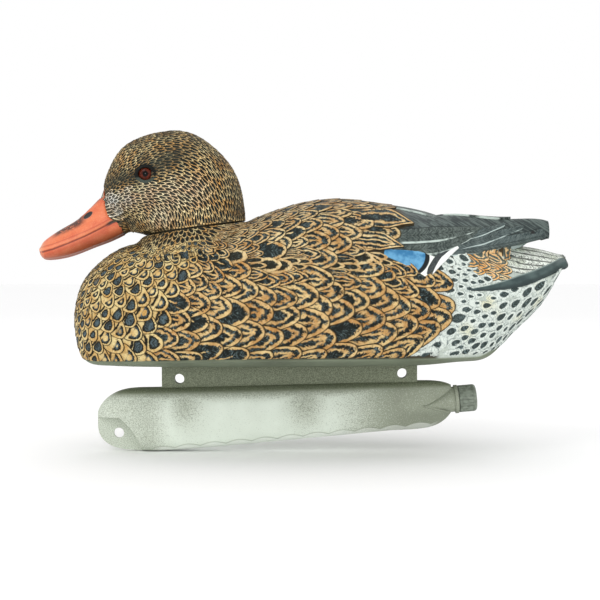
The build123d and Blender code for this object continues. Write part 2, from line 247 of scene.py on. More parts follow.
# ---------------- plumage paint
class FeatherPaint(Paint):
    """Paint that follows each feather: s runs across from -1 to 1 and t from root to tip."""

    def __init__(self, name, wobble=0.10):
        super().__init__(name)
        s, t, self.seed = self.attribute("feather")
        self.width, self.length, self.tone = self.attribute("feather_size")
        drift = (self.noise(260) - 0.5) * (wobble * 2)
        shift = (self.noise(330, place=self.shifted(3.7)) - 0.5) * wobble
        self.s = s + drift
        self.t = t + shift
        self.side = abs(self.s)
        self.raw_t = t
        self.raw_side = abs(s)
        self.barbs = self.barb_noise()

    def barb_noise(self):
        """Fine streaks that run out from the shaft towards the tip."""
        across = self.raw_side * self.width
        along = self.raw_t * self.length
        slant = across * -0.75 + along
        streak = self.join(slant * 1.7, across * 0.22, self.seed * 60.0)
        return self.noise(1.0, detail=2.5, place=streak, rough=0.65)

    def own_number(self, factor):
        """A number from 0 to 1 that differs from feather to feather."""
        return self.math("FRACT", self.seed * factor)

    def serration(self, amount):
        return (self.barbs - 0.5) * amount

    def stroke(self, low, high, strength, colour):
        """Brushes a colour along the barbs."""
        self.coat(self.barbs.step(low, high) * strength, colour)

    def edge_line(self, low, high, strength):
        """A dark hairline along each feather's edge: partly the feather's painted outline, partly painted
        shade for the step at its edge.
        """
        self.coat(self.outline(0.5).step(low, high) * strength, (30, 26, 14))

    def to_outline(self, side, along, power, start):
        """0 on the shaft and 1 on the outline; start is where the rounded tip begins."""
        ahead = self.larger(along * (1 / (1 - start)) + -start / (1 - start), 0.0)
        return (side ** power + ahead ** power) ** (1 / power)

    def reach(self, power, start, ragged=0.26):
        """How near the outline, with a wobble and ragged along the barbs."""
        return self.to_outline(self.side, self.t, power, start) + self.serration(ragged)

    def oval(self, half_width, middle, half_length, ragged):
        """0 in the middle of an oval on the shaft and 1 on its outline; and how far along it is."""
        across = self.s / half_width
        along = (self.t - middle) / half_length
        return self.math("SQRT", across * across + along * along) + self.serration(ragged), along

    def outline(self, start):
        return self.to_outline(self.raw_side, self.raw_t, 4.0, start)

    def hairs(self, strength):
        """Broken dark hairlines brushed along the barbs."""
        broken = self.noise(210, detail=2, place=self.shifted(2.3)).step(0.44, 0.6)
        lines = self.barbs.step(0.4, 0.33)
        return lines * broken * strength

    def rim_colour(self, pale, warm):
        """Rim paint drifts between a pale and a warm tan, over a fine brushed grain, with pale strokes of
        painted highlight along the barbs.
        """
        drift = self.noise(120, detail=3).step(0.36, 0.66)
        share = self.own_number(7.31) * 0.35 + drift * 0.65
        base = self.mix(share, pale, warm)
        grain = self.barbs.step(0.46, 0.34)
        base = self.mix(grain * 0.55, base, (112, 84, 44))
        # painted highlight: pale strokes along the barbs
        light = self.barbs.step(0.6, 0.72)
        return self.mix(light * 0.6, base, (248, 234, 198))

    def dark_colour(self, dark, slate):
        """Dark centres carry thin slate-grey strokes."""
        strokes = self.barbs.step(0.5, 0.68)
        patch = self.noise(180, detail=2, place=self.shifted(9.1)).step(0.36, 0.54)
        return self.mix(strokes * patch, dark, slate)

    def done(self, rough=0.62, relief=0.00022):
        """Darkens by the feather's tone, adds the barbs' relief, and ends the paint."""
        self.coat(self.larger(self.tone, 0.0) * 0.9, (40, 44, 38))
        self.bump(self.barbs, relief, 0.8)
        wear = self.noise(700, detail=1) * 0.22 + (rough - 0.11)
        return self.finish(wear, 0.15)


def scale_paint():
    """Breast: tan ground, a slate-dark oval or crescent near each tip."""
    paint = FeatherPaint("breast_paint", 0.10)
    ground = paint.rim_colour((228, 208, 150), (196, 150, 80))
    ring, along = paint.oval(0.6, 0.735, 0.16, 0.55)
    ring = ring + (paint.own_number(9.13) * 0.42 - 0.26)
    chosen = paint.own_number(3.77).step(0.5, 0.54)
    behind = along.step(-0.75, -0.25)
    crescent = 1.0 - ring.step(0.42, 0.3) * chosen
    half = paint.larger(behind, 1.0 - chosen)
    oval = ring.step(1.06, 0.94) * (crescent * half)
    strokes = paint.barbs.step(0.44, 0.58) * ring.step(0.8, 0.55)
    slate = paint.mix(strokes, (26, 26, 18), (84, 102, 108))
    bar = paint.t.band(0.48, 0.565, 0.02) * paint.side.step(0.78, 0.52)
    barred = bar * paint.own_number(6.41).step(0.3, 0.34)
    paint.colour = paint.mix(paint.larger(oval, barred), ground, slate)
    paint.coat(paint.hairs(0.62), (58, 46, 24))
    paint.edge_line(0.90, 0.98, 0.95)
    return paint.done()


def chevron_paint(name, pale, warm, dark, slate, fill=0.86):
    """Flank and scapulars: a thin tan rim, a dark V, a tan V, and a dark core with a tan shaft."""
    paint = FeatherPaint(name, 0.22)
    rim = paint.rim_colour(pale, warm)
    ink = paint.dark_colour(dark, slate)
    reach = paint.reach(1.35, 0.60, 0.50)
    outer = reach.band(0.57, 0.885, 0.03)
    core = reach.step(0.4, 0.33)
    shaft = paint.side.step(0.1, 0.05) * paint.own_number(2.93).step(0.4, 0.44)
    core = core * (1.0 - shaft)
    filled = paint.own_number(5.13).step(fill, fill + 0.02)
    between = reach.band(0.1, 0.66, 0.03) * filled
    mask = paint.larger(outer, between, core)
    paint.colour = paint.mix(mask, rim, ink)
    paint.coat(paint.hairs(0.8), (40, 34, 20))
    paint.edge_line(0.925, 0.98, 0.95)
    return paint.done()


def spot_paint():
    """Vent and undertail: white with dark slate spots and thin grey edges."""
    paint = FeatherPaint("vent_paint", 0.12)
    tint = paint.noise(45, detail=1).step(0.55, 0.75)
    white = paint.mix(tint * 0.5, (222, 230, 222), (228, 220, 166))
    ring, _ = paint.oval(0.4, 0.72, 0.175, 0.35)
    ring = ring + (paint.own_number(8.21) * 0.5 - 0.2)
    spot = ring.step(1.05, 0.9)
    dark = paint.dark_colour((50, 60, 58), (116, 130, 134))
    paint.colour = paint.mix(spot, white, dark)
    line = paint.outline(0.5).step(0.9, 0.98)
    broken = paint.noise(520, detail=2).step(0.46, 0.58)
    edge = line * (broken * 0.65 + 0.15)
    paint.coat(edge, (84, 98, 98))
    paint.stroke(0.52, 0.62, 0.8, (104, 122, 122))
    return paint.done()


def streak_paint(name="head_paint"):
    """Head and neck: a dark dash on the shaft between cream and tan edges."""
    paint = FeatherPaint(name, 0.16)
    rim = paint.rim_colour((250, 230, 172), (218, 160, 84))
    paler = paint.larger(paint.tone * -1.0, 0.0) * 0.95
    rim = paint.mix(paler, rim, (244, 247, 238))
    dark = paint.dark_colour((16, 17, 12), (62, 76, 76))
    reach = paint.reach(2.0, 0.66, 0.34)
    dash = reach.step(0.76, 0.6) * paint.t.step(0.3, 0.36)
    dash = dash * (1.0 - paler * 0.12)
    paint.colour = paint.mix(dash, rim, dark)
    paint.edge_line(0.88, 0.98, 0.85)
    return paint.done(0.6, 0.00016)


def fleck_paint():
    """The finely streaked strip between the flank and the scapulars."""
    paint = FeatherPaint("fleck_paint", 0.25)
    rim = paint.rim_colour((224, 202, 152), (190, 144, 84))
    dark = paint.dark_colour((30, 30, 20), (84, 92, 86))
    reach = paint.reach(2.0, 0.66, 0.5)
    paint.colour = paint.mix(reach.step(0.72, 0.52), rim, dark)
    return paint.done()


def quill_paint(name, base, deep, edge):
    """Tertials and primaries: grey vanes with slanted barbs and one pale edge."""
    paint = FeatherPaint(name, 0.03)
    drift = paint.noise(60, detail=3).step(0.3, 0.7)
    paint.colour = paint.mix(drift, base, deep)
    paint.stroke(0.42, 0.62, 0.4, (142, 154, 148))
    paint.stroke(0.44, 0.34, 0.5, (34, 40, 38))
    broken = paint.noise(90, detail=2, place=paint.shifted(5.0)).step(0.34, 0.5)
    pale = (paint.s * -1.0).step(0.72, 0.84) * broken
    paint.coat(pale * 0.9, edge)
    shaft = paint.s.band(-0.05, 0.05, 0.03)
    paint.coat(shaft * 0.5, (30, 36, 36))
    # painted shade along the edge that the neighbouring feather lies over
    shade = paint.s.step(0.84, 0.97)
    paint.coat(shade * 0.75, (26, 32, 32))
    return paint.done(0.55, 0.0003)


def speculum_paint():
    """Blue wing patch with a black bar and a white bar behind it."""
    paint = FeatherPaint("speculum_paint", 0.03)
    drift = paint.noise(150, detail=2).step(0.35, 0.65)
    paint.colour = paint.mix(drift, (58, 120, 164), (106, 166, 204))
    paint.stroke(0.55, 0.7, 0.5, (44, 88, 120))
    bar = paint.raw_t.step(0.775, 0.795)
    paint.coat(bar, (28, 34, 36))
    white = paint.raw_t.step(0.865, 0.885)
    paint.coat(white, (240, 244, 238))
    return paint.done(0.5)


def tail_paint():
    """Tail feathers: white vanes with dark shafts, streaks and dark outlines."""
    paint = FeatherPaint("tail_paint", 0.10)
    tint = paint.noise(70, detail=2).step(0.4, 0.7)
    paint.colour = paint.mix(tint, (240, 246, 236), (206, 214, 196))
    paint.stroke(0.5, 0.58, 0.85, (40, 46, 42))
    shaft = paint.s.band(-0.22, 0.18, 0.08)
    paint.coat(shaft * 0.8, (44, 50, 46))
    line = paint.outline(0.75).step(0.86, 0.96)
    paint.coat(line * 0.8, (58, 66, 64))
    return paint.done()


def white_bar_paint():
    """The white bar behind the blue wing patch."""
    paint = FeatherPaint("white_bar_paint", 0.05)
    paint.colour = (244, 247, 243)
    paint.stroke(0.52, 0.62, 0.35, (120, 132, 132))
    paint.edge_line(0.95, 0.99, 0.6)
    return paint.done()


def rim_paint():
    """The grey edge of the tail, darker along its lower side."""
    paint = FeatherPaint("rim_paint", 0.05)
    worn = paint.noise(90, detail=4).step(0.35, 0.65)
    paint.colour = paint.mix(worn, (60, 74, 74), (84, 100, 98))
    low = paint.s.step(-0.1, -0.75)
    paint.coat(low * 0.75, (48, 58, 58))
    high = paint.s.step(0.62, 0.92)
    paint.coat(high * 0.6, (166, 182, 176))
    return paint.done(0.5, 0.0002)


# ---------------- surfaces to lay feathers on
DOWN = Vector((0, 0, -1))
DROP_HEIGHT = 0.010  # where the rays that look for the skin start, in metres
SKY = 0.4  # above everything
FAR = 10.0  # further than any ray goes
MIN_CLEAR_LOOKS = 0.2  # share of the looks outward that must be free


class Skin:
    """Outer surface of one CAD node."""

    def __init__(self, node):
        mesh = NODES[node].data
        points = np.empty(len(mesh.vertices) * 3)
        mesh.vertices.foreach_get("co", points)
        self.points = points.reshape(-1, 3)
        mesh.calc_loop_triangles()
        corners = np.empty(len(mesh.loop_triangles) * 3, dtype=np.int64)
        mesh.loop_triangles.foreach_get("vertices", corners)
        self.triangles = corners.reshape(-1, 3)
        self.tree = BVHTree.FromPolygons(self.points.tolist(), self.triangles.tolist())

    def cast(self, start, way, reach=FAR):
        """Where a ray meets the skin, with the skin's normal there."""
        return self.tree.ray_cast(start, way, reach)[:2]

    def cast_or_nearest(self, start, way, fallback):
        place, normal = self.cast(start, way)
        if place is None:
            return self.tree.find_nearest(fallback)[:2]
        return place, normal

    def drop(self, point, normal, above=DROP_HEIGHT):
        """The skin below a point, looked for along the normal."""
        return self.cast(point + normal * above, -normal, 3 * above)

    def sight(self, x, z):
        """The skin seen from the camera at x, z of the middle plane, in millimetres."""
        target = Vector((x, 0, z)) * MM
        way = (target - CAMERA_PLACE).normalized()
        return self.cast_or_nearest(CAMERA_PLACE, way, target - Vector((0, 0.02, 0)))

    def plan(self, x, y):
        """The skin straight below x, y, in millimetres."""
        return self.cast_or_nearest(Vector((x * MM, y * MM, SKY)), DOWN, Vector((x * MM, y * MM, 0.15)))

    def under_wing(self, x, y):
        """The tail's skin straight below x, y, under the folded wings."""
        place, normal = self.cast(Vector((x, y, TAIL_CEILING)) * MM, DOWN)
        if place is None or normal.z < 0.1:
            return self.tree.find_nearest(Vector((x * MM, y * MM, 0.146)))[:2]
        return place, normal

    def facing(self, centre, direction, reach=0.06):
        """The outer skin in a direction from a point inside it."""
        way = Vector(direction).normalized()
        return self.cast(centre + way * reach, -way, reach)

    def seen(self, point, normal):
        """True if many free looks lead outward from the point, not just one through the neck."""
        start = point + normal * 0.0002
        ways = [way for way in OUTWARD_LOOKS if way.dot(normal) > 0.05]
        clear = sum(self.cast(start, way)[0] is None for way in ways)
        return clear > MIN_CLEAR_LOOKS * len(ways)

    def scatter(self, count):
        """Random points on the skin, even by area, with their normals."""
        a, b, c = (self.points[self.triangles[:, k]] for k in range(3))
        cross = np.cross(b - a, c - a)
        area = np.linalg.norm(cross, axis=1)
        picks = random_draws.choice(len(area), size=count, p=area / area.sum())
        u, v = random_draws.random(count), random_draws.random(count)
        flip = u + v > 1
        u[flip], v[flip] = 1 - u[flip], 1 - v[flip]
        places = a[picks] + (b[picks] - a[picks]) * u[:, None] + (c[picks] - a[picks]) * v[:, None]
        normals = cross[picks] / area[picks][:, None]
        return [(Vector(p), Vector(n)) for p, n in zip(places, normals)]


def outward_looks():
    """Directions all round, and straight up."""
    looks = []
    for elevation in (-60, -25, 0, 25, 60):
        for azimuth in range(0, 360, 30):
            e, a = math.radians(elevation), math.radians(azimuth)
            looks.append(Vector((math.cos(e) * math.cos(a), math.cos(e) * math.sin(a), math.sin(e))))
    return looks + [Vector((0, 0, 1))]


OUTWARD_LOOKS = outward_looks()


# ---------------- how feathers lie
# Guides in the side view: x, z, the way the tips point (degrees, 0 is to the tail and
# 90 is up), width, and exposed length.  Millimetres.
HULL_GUIDES = (
    (-128, 150, -78, 8, 7), (-95, 148, -75, 8, 7), (-62, 155, -40, 9, 8), (-150, 146, -70, 8, 7),
    (-168, 122, -68, 9, 8), (-172, 95, -62, 10, 9), (-160, 78, -45, 11, 10), (-140, 125, -55, 10, 9),
    (-140, 95, -40, 12, 10), (-130, 75, -20, 14, 12), (-110, 135, -48, 11, 9), (-110, 105, -25, 14, 12),
    (-100, 78, 5, 15, 15), (-80, 130, -18, 14, 12), (-75, 105, -4, 18, 17), (-70, 78, 22, 14, 18),
    (-40, 136, -8, 16, 17), (-40, 115, -2, 20, 20), (-35, 95, 6, 19, 20), (-30, 76, 28, 14, 20),
    (10, 136, -6, 17, 18), (10, 115, -2, 21, 22), (10, 95, 6, 20, 21), (10, 76, 30, 14, 20),
    (50, 134, -12, 18, 20), (55, 115, -4, 21, 23), (60, 95, 6, 20, 22), (60, 77, 32, 14, 20),
    (90, 125, -16, 18, 22), (98, 105, 8, 20, 22), (92, 82, 34, 15, 20),
    (-45, 165, 12, 12, 11), (-20, 152, -2, 15, 15), (-15, 176, 8, 15, 14), (20, 155, -2, 18, 18),
    (20, 185, 2, 16, 16), (55, 160, -8, 20, 22), (55, 182, -8, 18, 20),
    (-30, 143.5, -4, 3.6, 7), (0, 143.5, -4, 3.6, 7), (30, 143.5, -4, 3.6, 7), (58, 145, -8, 3.6, 7),
    (-118, 156, -80, 3.2, 6), (-100, 155, -82, 3.2, 6),
    (-82, 156, -80, 3.4, 6), (-66, 161, -60, 3.6, 6.5),
    (-54, 165, -30, 4.5, 7),
    (118, 125, 0, 4.6, 6.5), (118, 138, 0, 4.2, 6), (132, 122, 2, 5, 7), (115, 90, 20, 7, 8),
    (135, 105, 15, 7, 8), (135, 82, 35, 7, 9), (82, 135, -24, 11, 12), (70, 139, -16, 9, 10),
    (150, 110, 30, 8, 11), (170, 118, 36, 9, 14), (185, 128, 40, 8, 14), (140, 130, 5, 8, 8),
    (140, 150, -4, 12, 11), (160, 152, -2, 11, 11), (120, 150, -4, 12, 11),
)
GUIDE_BLUR = 16.0  # squared distance within which guides blend evenly
ROOT_SHARE = 1.05  # hidden root, as a share of the exposed length
OVERLAP_WIDTH = 1.22  # how much wider a feather is than its place in the row
HOLE_SINK = 3.4  # how deep a root goes where the skin is open, in millimetres
ROOT_SINK = 0.35  # how deep it goes elsewhere
TIP_ROUND = 0.42  # how far the sides fall short of the tip, as a share of the length
DARTS = 60000  # random places tried on each skin
FIRST_GAP = 0.52  # squared distance kept between feathers, in feather sizes
LAST_GAP = 0.50
PUSH_REACH = 1.15  # feathers nearer than this push each other apart
PUSH_SHARE = 0.22
MAX_PUSH = 0.25
PUSH_DROP = 0.006
MIN_TURN = 0.5  # a pushed feather stays where the skin has turned by less than 60 degrees


def guide_values(guides, x, z):
    """Blend of the nearest guides at a point of the side view, in millimetres."""
    total = 0.0
    sums = [0.0, 0.0, 0.0, 0.0]
    for gx, gz, angle, width, exposed in guides:
        weight = 1.0 / ((x - gx) ** 2 + (z - gz) ** 2 + GUIDE_BLUR) ** 2
        turn = math.radians(angle)
        for k, value in enumerate((math.cos(turn), math.sin(turn), width, exposed)):
            sums[k] += weight * value
        total += weight
    cosine, sine, width, exposed = (value / total for value in sums)
    return math.atan2(sine, cosine), width * MM, exposed * MM


def lay_direction(angle, normal):
    """The way of the tips, laid into the skin."""
    way = Vector((math.cos(angle), 0, math.sin(angle)))
    flat = way - normal * way.dot(normal)
    if flat.length < 1e-4:
        flat = DOWN + normal * normal.z
    return flat.normalized()


class Spot:
    """One feather's place: point, normal, direction, width, exposed length."""

    def __init__(self, guides, point, normal):
        self.point = point
        self.normal = normal
        angle, self.width, self.exposed = guide_values(guides, point.x / MM, point.z / MM)
        self.way = lay_direction(angle, normal)
        self.across = normal.cross(self.way)


def spread(skin, guides, wanted, rounds):
    """Feather places with even, staggered spacing: dart throwing, then rounds of pushing apart."""
    spots = throw_darts(skin, guides, wanted, DARTS, [], FIRST_GAP)
    for _ in range(rounds):
        spots = push_apart(skin, guides, wanted, spots)
    return throw_darts(skin, guides, wanted, DARTS // 2, spots, LAST_GAP)


def throw_darts(skin, guides, wanted, count, spots, closest):
    """Adds random places wherever no other feather is nearer than closest, a squared distance."""
    spots = list(spots)
    table = np.array([s.point for s in spots]).reshape(-1, 3)
    for point, normal in skin.scatter(count):
        if not wanted(point, normal):
            continue
        spot = Spot(guides, point, normal)
        if len(spots):
            gap = table - np.array(point)
            along = gap @ np.array(spot.way) / spot.exposed
            side = gap @ np.array(spot.across) / spot.width
            depth = gap @ np.array(normal) / spot.width
            if (along ** 2 + side ** 2 + depth ** 2).min() < closest:
                continue
        if not skin.seen(point, normal):
            continue
        spots.append(spot)
        table = np.vstack([table, np.array(point)])
    return spots


def push_apart(skin, guides, wanted, spots):
    """Moves each feather a little away from its neighbours, along the skin."""
    places = np.array([s.point for s in spots])
    moved = []
    for index, spot in enumerate(spots):
        way, across = np.array(spot.way), np.array(spot.across)
        gap = places - places[index]
        along = gap @ way / spot.exposed
        side = gap @ across / spot.width
        depth = gap @ np.array(spot.normal) / spot.width
        reach = np.sqrt(along ** 2 + side ** 2 + depth ** 2)
        near = (reach < PUSH_REACH) & (reach > 1e-6)
        gaps = np.stack([along[near], side[near]], 1)
        push = ((PUSH_REACH - reach[near]) / reach[near])[:, None] * gaps
        back, sideways = np.clip(-PUSH_SHARE * push.sum(0), -MAX_PUSH, MAX_PUSH)
        target = spot.point + spot.way * float(back * spot.exposed)
        target += spot.across * float(sideways * spot.width)
        place, normal = skin.drop(target, spot.normal, PUSH_DROP)
        if place is None or normal.dot(spot.normal) < MIN_TURN or not wanted(place, normal):
            moved.append(spot)
        else:
            moved.append(Spot(guides, place, normal))
    return moved


# ---------------- feather meshes
def smooth_mesh(name, points, faces, material):
    mesh = bpy.data.meshes.new(name)
    mesh.from_pydata(points, [], faces)
    mesh.polygons.foreach_set("use_smooth", [True] * len(mesh.polygons))
    mesh.materials.append(material)
    return mesh


def tube_faces(rings, steps, closed=False):
    """Faces that join rings of points one after another; closed joins the last to the first."""
    faces = []
    for ring in range(rings if closed else rings - 1):
        near, far = ring * steps, (ring + 1) % rings * steps
        for k in range(steps):
            after = (k + 1) % steps
            faces.append((near + k, near + after, far + after, far + k))
    return faces


def mark_points(mesh, name, values):
    """Stores three values at each point, for the paint to read."""
    attribute = mesh.attributes.new(name, "FLOAT_VECTOR", "POINT")
    attribute.data.foreach_set("vector", np.array(values, dtype=np.float32).ravel())


def add_piece(name, mesh, body):
    mesh.update()
    piece = new_object(name, mesh)
    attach(piece, body)


def feather_grid(rows, columns, at):
    """Rows of points from root to tip; s runs across from -1 to 1 and t from root to tip.
    Each point has its place and normal, which at gives, and its s and t."""
    across = [-1 + 2 * c / (columns - 1) for c in range(columns)]
    return [[(*at(s, r / (rows - 1)), s, r / (rows - 1)) for s in across] for r in range(rows)]


def mirror(point):
    """The same point of a feather on the other side of the decoy."""
    place, normal, s, t = point
    return Vector((place.x, -place.y, place.z)), Vector((normal.x, -normal.y, normal.z)), s, t


class Plumage:
    """Collects thin closed feathers into one mesh with its feather coordinates."""

    def __init__(self):
        self.points = []
        self.faces = []
        self.local = []
        self.size = []
        self.edge = []

    def put(self, point, local, size, on_edge):
        self.points.append(tuple(point))
        self.local.append(local)
        self.size.append(size)
        self.edge.append(on_edge)

    def add(self, grid, seed, width, length, tone, depth):
        """Adds one feather; depth is how far its sides go into the skin."""
        rows, columns = len(grid), len(grid[0])
        size = (width / MM, length / MM, tone)
        first = len(self.points)
        ring = [(0, c) for c in range(columns)] + [(r, columns - 1) for r in range(1, rows)]
        ring += [(rows - 1, c) for c in range(columns - 2, -1, -1)]
        ring += [(r, 0) for r in range(rows - 2, 0, -1)]
        on_ring = set(ring)
        for r in range(rows):
            for c in range(columns):
                place, _, s, t = grid[r][c]
                self.put(place, (s, t, seed), size, (r, c) in on_ring)
        for r in range(rows - 1):
            for c in range(columns - 1):
                a = first + r * columns + c
                self.faces.append((a, a + 1, a + columns + 1, a + columns))
        lower = len(self.points)
        for r, c in ring:
            place, normal, s, t = grid[r][c]
            self.put(place - normal * depth, (s, t, seed), size, False)
        upper = [first + r * columns + c for r, c in ring]
        for k in range(len(ring)):
            after = (k + 1) % len(ring)
            self.faces.append((upper[after], upper[k], lower + k, lower + after))
        self.faces.append(tuple(lower + k for k in range(len(ring))))

    def build(self, name, material, body="hull", slot="body_plumage"):
        mesh = smooth_mesh(name, self.points, self.faces, material)
        mark_points(mesh, "feather", self.local)
        mark_points(mesh, "feather_size", self.size)
        ends = np.empty(len(mesh.edges) * 2, dtype=np.int64)
        mesh.edges.foreach_get("vertices", ends)
        on_edge = np.array(self.edge)[ends.reshape(-1, 2)]
        sharp = mesh.attributes.new("sharp_edge", "BOOLEAN", "EDGE")
        sharp.data.foreach_set("value", on_edge.all(axis=1))
        add_piece(name, mesh, body)


SWELL_ROOT = 0.58  # a feather's width at its root, as a share of its widest
SWELL_END = 0.62  # how far along it is widest
TIP_POWER = 2.4  # how square the tip is
SINK_END = 0.6  # roots over a hole go down as far as this along the feather
STRAY = 0.012  # a skin point further away than this is another part of the skin
SKIRT = 0.0007  # how far a feather's sides go under the skin, beyond its lift


def lay_feather(plumage, skin, spot, lift, crown, tone, columns, rows, guard):
    """Lays one feather on the skin: its root under the skin, its tip proud by lift."""
    length = spot.exposed * (1 + ROOT_SHARE)
    width = spot.width * OVERLAP_WIDTH
    seed = random_draws.random()
    jitter = random_draws.random() * 0.12 * lift

    def at(s, t):
        swell = SWELL_ROOT + (1 - SWELL_ROOT) * math.sin(min(t / SWELL_END, 1.0) * math.pi / 2)
        along = length * t * (1 - TIP_ROUND * abs(s) ** TIP_POWER * t) - length + 0.5 * spot.exposed
        guess = spot.point + spot.way * along + spot.across * (0.5 * width * s * swell)
        place, normal = skin.drop(guess, spot.normal)
        if place is None or (place - guess).length > STRAY:
            under = HOLE_SINK * MM if t < SINK_END else 0.0
            place, normal = guess - spot.normal * under, spot.normal
        normal = (normal + spot.normal).normalized()
        arch = crown * (1 - s * s) * (0.25 + 0.75 * t)
        height = lift * t - ROOT_SINK * MM * (1 - t) + arch + jitter
        return guard(place + normal * height), normal

    plumage.add(feather_grid(rows, columns, at), seed, width, length, tone, lift + SKIRT)


# ---------------- zones of the hull
CHINE = ((-175, 70.5), (-150, 71.0), (-110, 72.3), (-82, 73.5), (0, 75.3), (95, 75.3), (130, 76.5),
         (140, 79.0), (152, 84.0), (175, 100.0), (200, 138.0))
WING_LOWER = ((60, 151), (78, 148.5), (96, 143.5), (112, 147.5), (127, 147), (150, 154),
              (165, 158), (190, 161))
BREAST_END = ((70, -95), (100, -98), (130, -88), (160, -70))
FLANK_END = ((76, 93), (90, 106), (105, 113.5), (120, 114.5), (132, 110), (141, 102), (150, 96))
RUMP_LOWER = ((112, 150), (120, 146.5), (130, 136), (139, 129), (165, 131))
SPECULUM_LOWER = ((60, 144), (76, 139), (86, 133), (96, 128))
RIM_LOWER = ((133, 121), (161, 124.5), (199, 137.5))
MANTLE_LOWER = ((-95, 157), (-60, 150), (-30, 146.5), (30, 146.5), (62, 150), (75, 150))
NECK = Vector((-82.0, 0, 169.5)) * MM
NECK_AXIS = Vector((-math.sin(math.radians(8.05)), 0, math.cos(math.radians(8.05))))
NECK_RADIUS = 38.2 * MM
NECK_BAND = 15 * MM  # how far out and down the neck's plumage goes
NECK_DEPTH = 18 * MM
CHEST_AXIS_Z = 110.0 * MM  # the chest bulges all round this height
CHEST_REAR_X = -30
CHINE_CLEAR = 1.5
OVERHANG = -0.55  # the normal's height where the skin faces down too much
UNDERTAIL_X = 125  # from here to the rear feathers lie on the underside too
TAIL_ROOF_X = 150
TAIL_ROOF = (128, 160)  # heights between which the tail's top is left to its long feathers
WING_X = 74  # the bare wing starts here,
WING_GAP_X = 118  # and from here on the wings lie apart
WING_TIP_Z = 158
SPECULUM_X = (60, 96)
RUMP_X = (112, 168)
MANTLE_X = (-60, 62)
FLECK_BAND = 6.5  # width of the flecked strip below the mantle


def follow(line, value):
    """Height of a drawn line at value, straight between its points."""
    return float(np.interp(value, [p[0] for p in line], [p[1] for p in line]))


def hull_zone(point, normal):
    """The name of the plumage at a point of the hull, or None where no feathers lie."""
    x, z = point.x / MM, point.z / MM
    from_axis = point - NECK
    height = from_axis.dot(NECK_AXIS)
    radial = (from_axis - NECK_AXIS * height).length
    if z < follow(CHINE, x) + CHINE_CLEAR:
        return None
    if x < CHEST_REAR_X and normal.y * point.y + normal.z * (point.z - CHEST_AXIS_Z) < -4 * MM:
        return None
    if normal.z < OVERHANG and x < UNDERTAIL_X:
        return None
    if radial < NECK_RADIUS + 0.5 * MM and height > -4 * MM:
        return None
    if x > TAIL_ROOF_X and normal.z > 0.25 and TAIL_ROOF[0] < z < TAIL_ROOF[1]:
        return None
    outside = x < WING_GAP_X or abs(point.y) > 10 * MM or z > WING_TIP_Z
    if x > WING_X and z > follow(WING_LOWER, x) and outside:
        return None
    if x > RUMP_X[1] and z > follow(RIM_LOWER, x):
        return None
    if SPECULUM_X[0] < x < SPECULUM_X[1] and z > follow(SPECULUM_LOWER, x):
        return None
    if RUMP_X[0] < x < RUMP_X[1] and z > follow(RUMP_LOWER, x):
        return "rump"
    if x > follow(FLANK_END, z) - 8:
        return "vent"
    if z > follow(MANTLE_LOWER, x) and x > MANTLE_X[0]:
        return "mantle"
    if MANTLE_X[0] + 10 < x < MANTLE_X[1] and z > follow(MANTLE_LOWER, x) - FLECK_BAND:
        return "fleck"
    if radial < NECK_RADIUS + NECK_BAND and height > -NECK_DEPTH:
        return "neck"
    if x < follow(BREAST_END, z):
        return "breast"
    return "flank"


HULL_STYLES = {
    # lift and crown in millimetres, columns and rows of each feather's grid, and its tone
    "neck": (0.45, 0.25, 5, 6, 0.26),
    "breast": (0.60, 0.35, 7, 7, 0.06),
    "flank": (0.85, 0.50, 9, 11, 0.06),
    "fleck": (1.15, 0.15, 5, 6, 0.10),
    "mantle": (0.80, 0.45, 9, 10, 0.06),
    "rump": (0.65, 0.35, 7, 8, 0.0),
    "vent": (0.40, 0.20, 5, 7, 0.04),
}


def make_hull_plumage(skin):
    materials = {
        "neck": streak_paint("neck_paint"),
        "breast": scale_paint(),
        "flank": chevron_paint("flank_paint", (224, 196, 138), (180, 128, 66), (20, 25, 22),
                               (112, 132, 134)),
        "fleck": fleck_paint(),
        "mantle": chevron_paint("mantle_paint", (224, 200, 148), (180, 132, 72), (24, 31, 29),
                                (106, 124, 124)),
        "rump": chevron_paint("rump_paint", (250, 226, 176), (236, 166, 84), (78, 90, 84),
                              (140, 152, 148), 0.95),
        "vent": spot_paint(),
    }
    spots = spread(skin, HULL_GUIDES, hull_zone, 5)
    flocks = {zone: Plumage() for zone in HULL_STYLES}
    for spot in sorted(spots, key=lambda s: s.point.x):
        zone = hull_zone(spot.point, spot.normal)
        if zone is None:
            continue
        lift, crown, columns, rows, tone = HULL_STYLES[zone]
        lay_feather(flocks[zone], skin, spot, lift * MM, crown * MM, tone, columns, rows, below_seam)
    for zone, flock in flocks.items():
        flock.build(zone + "_feathers", materials[zone])


# ---------------- long feathers of wing and tail
def lay_quill(plumage, look, course, widths, lift, tip_round, rows=22, columns=9, crown=0.35):
    """Lays a long feather on both sides.  look finds the skin, course is root, bend and tip
    of the shaft, and widths are the half-widths at the root, the middle and the tip."""
    root, bend, tip = (Vector(point) for point in course)
    length = (tip - root).length
    seed = random_draws.random()

    def at(s, t):
        back = tip_round * widths[1] / length
        along = t * (1 - back * abs(s) ** QUILL_TIP_POWER)
        shaft = root * (1 - along) ** 2 + bend * (2 * along * (1 - along)) + tip * along ** 2
        way = ((bend - root) * (1 - along) + (tip - bend) * along).normalized()
        half = float(np.interp(along, (0, 0.5, 1), widths))
        place, normal = look(shaft.x - way.y * s * half, shaft.y + way.x * s * half)
        height = lift * MM * (0.35 + 0.65 * t) + crown * MM * (1 - s * s)
        top = place + normal * height
        top.x = min(top.x, TAIL_END * MM)
        return top, normal

    points = feather_grid(rows, columns, at)
    size = (2 * widths[1] * MM, length * MM)
    depth = lift * MM + SKIRT
    plumage.add(points, seed, *size, 0.0, depth)
    plumage.add([[mirror(p) for p in reversed(line)] for line in points], seed, *size, 0.0, depth)


